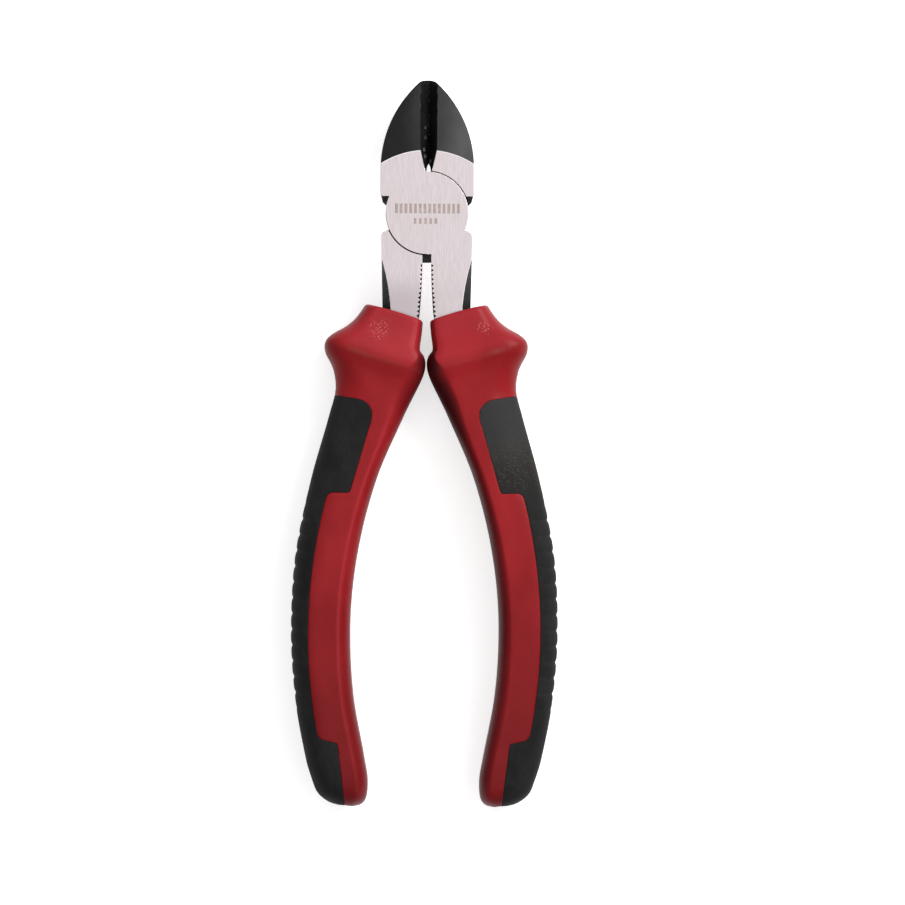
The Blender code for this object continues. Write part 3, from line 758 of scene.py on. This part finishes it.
def forged_steel():
    """The rough, dull black left on the forging where nothing is ground."""
    finish = Finish("forged_steel", 0.62, 0.0, Specular_IOR_Level=0.08)
    fine = finish.noise((1300.0, 1300.0, 1300.0), 4.0, 0.6)
    cloud = finish.noise((220.0, 140.0, 220.0), 3.0)
    base = finish.mix(finish.band(cloud, 0.35, 0.7), rgb(0.005, 0.005, 0.0052), rgb(0.012, 0.0116, 0.0116))
    base = finish.mix(finish.band(fine, 0.6, 0.75, 0.0, 0.35), base, rgb(0.06, 0.058, 0.057))
    # painted shade: near black between the tangs below the boss
    painted_gap_shade = finish.both(finish.band(finish.side, 2.4, 1.6), finish.between(finish.y, -16.0, -9.0, 0.5))
    finish.colour(finish.mix(painted_gap_shade, base, rgb(0.001, 0.001, 0.001)))
    finish.rough(finish.band(fine, 0.3, 0.7, 0.55, 0.72))
    finish.bump((fine, 0.03, 0.6))
    return finish.material


def worn_steel():
    """Steel rubbed bright on the edges and bruised in the cutting groove."""
    finish = Finish("worn_steel", 0.5, 0.4)
    patchy = finish.noise((900.0, 900.0, 900.0), 3.0)
    groove = finish.both(finish.band(finish.side, 2.6, 2.3), finish.band(finish.y, 11.0, 11.5))
    edge = finish.mix(finish.band(patchy, 0.3, 0.7), rgb(0.7, 0.65, 0.66), rgb(0.86, 0.81, 0.82))
    bruise = finish.mix(finish.band(patchy, 0.3, 0.7), rgb(0.1, 0.1, 0.098), rgb(0.26, 0.26, 0.255))
    finish.colour(finish.mix(groove, edge, bruise))
    return finish.material


def turned_steel():
    """Steel faced on a lathe: fine rings about the rivet's axis."""
    finish = Finish("turned_steel", 0.3, 1.0)
    radius = finish.maths("SQRT", finish.maths(
        "ADD", finish.maths("POWER", finish.x, 2.0), finish.maths("POWER", finish.y, 2.0)
    ))
    rings = finish.maths("SINE", finish.maths("MULTIPLY", radius, 38.0))
    wear = finish.noise((500.0, 500.0, 500.0), 4.0)
    base = finish.mix(finish.band(wear, 0.35, 0.7), rgb(0.42, 0.4, 0.395), rgb(0.62, 0.59, 0.585))
    finish.colour(base)
    finish.rough(finish.band(wear, 0.3, 0.7, 0.26, 0.42))
    finish.bump((rings, 0.01, 0.4), (wear, 0.02, 0.3))
    return finish.material


def red_plastic():
    """Satin moulded plastic, scuffed on the collars and worn paler along the guard's crest, with painted
    light on the collars above the crest, a painted highlight on the crest and along the inner edges, and
    painted shade on the inner sides and towards the grips' ends.
    """
    finish = Finish("red_plastic", 0.4, 0.0, Specular_IOR_Level=0.13)
    grain = finish.noise((2600.0, 2600.0, 2600.0), 2.0)
    cloud = finish.noise((90.0, 60.0, 90.0), 3.0)
    patchy = finish.noise((240.0, 240.0, 240.0), 4.0, 0.6)
    base = finish.mix(finish.band(cloud, 0.3, 0.7), rgb(0.26, 0.008, 0.011), rgb(0.33, 0.013, 0.017))
    depth = finish.maths("MULTIPLY", finish.y, -1.0)
    sloped = finish.maths("MULTIPLY_ADD", finish.side, RING_SLANT, depth)
    # painted light: the collars are made paler above the guard's crest, where they face the light
    painted_collar_light = finish.band(sloped, 36.5, 39.5, 0.26, 0.0)
    base = finish.mix(painted_collar_light, base, rgb(0.5, 0.045, 0.06))
    # worn paler along the guard's crest, with a painted highlight where it is strongest, at the right collar
    # and faintly at the left
    crest = finish.between(sloped, 38.9, 40.1, 0.9)
    faint = finish.maths("MULTIPLY", finish.spot(-15.0, -34.5, 6.0), 0.35)
    most = finish.maths("MAXIMUM", finish.spot(19.0, -33.5, 5.5), faint)
    strength = finish.maths("MULTIPLY_ADD", most, 0.2, 0.08)
    sheen_and_wear = finish.both(crest, finish.band(patchy, 0.35, 0.65, 0.2, 1.0), strength)
    base = finish.mix(sheen_and_wear, base, rgb(0.3, 0.14, 0.125))
    specks = finish.noise((2300.0, 2300.0, 2300.0), 3.0, 0.6)
    scuffed = finish.maths("MAXIMUM", finish.spot(-11.6, -28.8, 4.6), finish.spot(14.2, -28.4, 3.6))
    least = finish.maths("MULTIPLY_ADD", scuffed, -0.16, 0.7)
    scratch = finish.band(finish.maths("SUBTRACT", specks, least), 0.0, 0.09, 0.0, 0.5)
    base = finish.mix(finish.maths("MULTIPLY", scratch, scuffed), base, rgb(0.66, 0.24, 0.26))
    # painted shade on the sides towards the other grip, darkening them
    painted_shade = finish.node("ShaderNodeAttribute", {"attribute_name": "painted_shade"}).outputs["Fac"]
    base = finish.mix(finish.band(painted_shade, 0.1, 0.65, 0.0, 0.86), base, rgb(0.02, 0.003, 0.004))
    # painted highlight along the inner edges
    painted_edge_highlight = finish.node("ShaderNodeAttribute", {"attribute_name": "painted_edge_highlight"}).outputs["Fac"]
    base = finish.mix(painted_edge_highlight, base, rgb(0.46, 0.035, 0.045))
    # painted shade: the grips are made darker, unevenly, towards their ends
    uneven = finish.band(patchy, 0.3, 0.6, 0.55, 0.7)
    painted_end_shade = finish.maths("MULTIPLY", finish.band(depth, 74.0, 146.0), uneven)
    base = finish.mix(painted_end_shade, base, rgb(0.15, 0.006, 0.008))
    finish.colour(base)
    worn = finish.maths("MULTIPLY", sheen_and_wear, 0.25)
    finish.rough(finish.maths("ADD", finish.band(cloud, 0.3, 0.7, 0.36, 0.44), worn))
    finish.bump((grain, 0.012, 0.35), (patchy, 0.03, 0.15))
    return finish.material


def charcoal_rubber():
    """Matte soft moulding, mottled with handling, with a painted sheen on the upper part of the right patch.
    """
    finish = Finish("charcoal_rubber", 0.72, 0.0, Specular_IOR_Level=0.14)
    grain = finish.noise((2200.0, 2200.0, 2200.0), 3.0)
    cloud = finish.noise((170.0, 110.0, 170.0), 4.0, 0.6)
    base = finish.mix(finish.band(cloud, 0.35, 0.65), rgb(0.009, 0.0092, 0.009), rgb(0.017, 0.0172, 0.017))
    dust = finish.both(finish.band(grain, 0.5, 0.72), finish.band(cloud, 0.42, 0.65, 0.05, 0.3))
    base = finish.mix(dust, base, rgb(0.05, 0.044, 0.036))
    # painted sheen: the right patch's upper part is made greyer
    painted_sheen = finish.maths("MULTIPLY", finish.spot(17.0, -51.0, 17.0), 0.5)
    base = finish.mix(painted_sheen, base, rgb(0.052, 0.05, 0.051))
    held = finish.both(finish.spot(23.0, -62.5, 10.0), finish.band(grain, 0.45, 0.75, 0.05, 0.5))
    base = finish.mix(held, base, rgb(0.085, 0.065, 0.05))
    finish.colour(base)
    finish.rough(finish.band(cloud, 0.3, 0.7, 0.64, 0.8))
    finish.bump((grain, 0.03, 0.6))
    return finish.material


def pale_floor():
    finish = Finish("pale_floor", 0.85, 0.0)
    mottle = finish.noise((6.0, 6.0, 6.0), 2.0)
    finish.colour(finish.mix(mottle, rgb(0.9, 0.9, 0.9), rgb(0.92, 0.92, 0.92)))
    finish.shader.inputs["Emission Color"].default_value = rgb(1.0, 1.0, 1.0)
    finish.shader.inputs["Emission Strength"].default_value = 0.62
    return finish.material


def dress(piece, body, slot, node, *materials):
    """Gives a piece its materials and body, and lets it stand for its CAD node. The slot is not used."""
    piece.data.materials.clear()
    for material in materials:
        piece.data.materials.append(material)
    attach(piece, body)
    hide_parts(node)


def lap_in_painted_shade(x, y):
    """True along the lap's edges, which are left dark as painted shade, but for the boss's own edge at the
    right.
    """
    radius = math.hypot(x, y)
    if not BOSS_RADIUS - 3 * EDGE_BREAK < radius < LAP_EDGE or x * y < 0.0:
        return False
    return x < 0.0 or radius > BOSS_RADIUS + EDGE_BREAK / 2


def steel_by_place(piece):
    """Ground steel on the flat faces, smooth black on the jaws' sloped faces, and forged black elsewhere."""
    for face in piece.data.polygons:
        up = abs(face.normal.z)
        off = abs(face.center.z - PIVOT.z) / MM
        x, y = face.center.x / MM, (face.center.y - PIVOT.y) / MM
        inside_arc = math.hypot(x, y - RELIEF_CENTRE_Y) < RELIEF_RADIUS
        near_face = up > 0.3 and off > HEAD_HALF_THICKNESS - 2 * EDGE_BREAK
        broken_edge = near_face and off > HEAD_HALF_THICKNESS - EDGE_BREAK and inside_arc
        tooth_side = y < TANG_TOP and abs(x) < TOOTH_REACH
        if up > 0.999 and (off > HEAD_HALF_THICKNESS - 0.02 or off < 0.2):
            face.material_index = GROUND
        elif broken_edge and not tooth_side and not lap_in_painted_shade(x, y):
            face.material_index = WORN
        elif (up > 0.95 and off > 1.0) or (near_face and not inside_arc):
            face.material_index = BLACK
        else:
            face.material_index = FORGED


# Studio.

def area_light(name, place, towards, size, power):
    deselect()
    bpy.ops.object.light_add(type="AREA", location=place)
    lamp = bpy.context.object
    lamp.name = name
    lamp.data.shape = "SQUARE"
    lamp.data.size = size
    lamp.data.energy = power
    lamp.rotation_euler = (Vector(towards) - Vector(place)).to_track_quat("-Z", "Y").to_euler()
    lamp.visible_camera = False


def studio():
    deselect()
    bpy.ops.mesh.primitive_plane_add(size=1.0)
    floor = added("floor")
    edit(floor)
    bpy.ops.mesh.select_all(action="SELECT")
    bpy.ops.transform.resize(value=(FLOOR_SIZE, FLOOR_SIZE, 1.0))
    leave_edit()
    floor.data.materials.append(pale_floor())
    area_light("softbox", *SOFTBOX)
    area_light("ceiling", *CEILING)
    floor.visible_diffuse = False
    world = bpy.data.worlds.new("studio")
    world.use_nodes = True
    nodes, links = world.node_tree.nodes, world.node_tree.links
    split = nodes.new("ShaderNodeSeparateXYZ")
    links.new(nodes.new("ShaderNodeTexCoord").outputs["Generated"], split.inputs[0])
    walls = nodes.new("ShaderNodeValToRGB")
    links.new(split.outputs["Z"], walls.inputs["Fac"])
    links.new(walls.outputs["Color"], nodes["Background"].inputs["Color"])
    ramp = walls.color_ramp
    ramp.elements[0].color = rgb(BELOW, BELOW, BELOW)
    ramp.elements[0].position = 0.0
    ramp.elements[1].color = rgb(OVERHEAD, OVERHEAD, OVERHEAD)
    ramp.elements[1].position = 0.75
    for height in (0.04, 0.5):
        ramp.elements.new(height).color = rgb(SIDES, SIDES, SIDES)
    bpy.context.scene.world = world
    bpy.context.scene.view_settings.view_transform = "Standard"


def camera():
    """Straight above the tool, a little turned."""
    right = Vector((math.cos(CAMERA_ROLL), math.sin(CAMERA_ROLL), 0.0))
    up = Vector((-math.sin(CAMERA_ROLL), math.cos(CAMERA_ROLL), 0.0))
    centre = PIVOT + right * FRAME_CENTRE[0] + up * FRAME_CENTRE[1]
    deselect()
    above = centre + Vector((0.0, 0.0, CAMERA_HEIGHT))
    bpy.ops.object.camera_add(location=above, rotation=(0.0, 0.0, CAMERA_ROLL))
    made = bpy.context.object
    made.name = "camera"
    made.data.sensor_width = SENSOR
    made.data.lens = SENSOR * CAMERA_HEIGHT / FRAMED
    bpy.context.scene.camera = made


front_lever = lever("front_lever", "front_lever_forging")
rear_lever = lever("rear_lever", "rear_lever_forging")
rivet = turned_rivet()
right_core = grip_core()
right_inlay = grip_overmould()
left_core = mirrored(right_core, "left_grip_sleeve")
mark_inner_side(right_core, 1.0, 0.55, 0.1)
mark_inner_side(left_core, 0.6, 0.0, 0.6)
left_inlay = mirrored(right_inlay, "left_grip_inlay")

black = blackened_steel()
forged = forged_steel()
worn = worn_steel()
red = red_plastic()
rubber = charcoal_rubber()
marked = ground_steel("ground_steel_marked", True)
plain = ground_steel("ground_steel", False)
dress(front_lever, "front_half", "lever_steel", "front_lever", marked, black, forged, worn)
dress(rear_lever, "rear_half", "lever_steel", "rear_lever", plain, black, forged, worn)
steel_by_place(front_lever)
steel_by_place(rear_lever)
for nick_x, nick_y in NICKS:
    nick(front_lever if nick_x < EDGE_X else rear_lever, nick_x, nick_y)
dress(rivet, "front_half", "rivet_steel", "pivot_rivet", turned_steel())
dress(right_core, "front_half", "red_plastic", "right_grip_core", red)
dress(left_core, "rear_half", "red_plastic", "left_grip_core", red)
dress(right_inlay, "front_half", "charcoal_rubber", "right_grip_overmould", rubber)
dress(left_inlay, "rear_half", "charcoal_rubber", "left_grip_overmould", rubber)

studio()
camera()
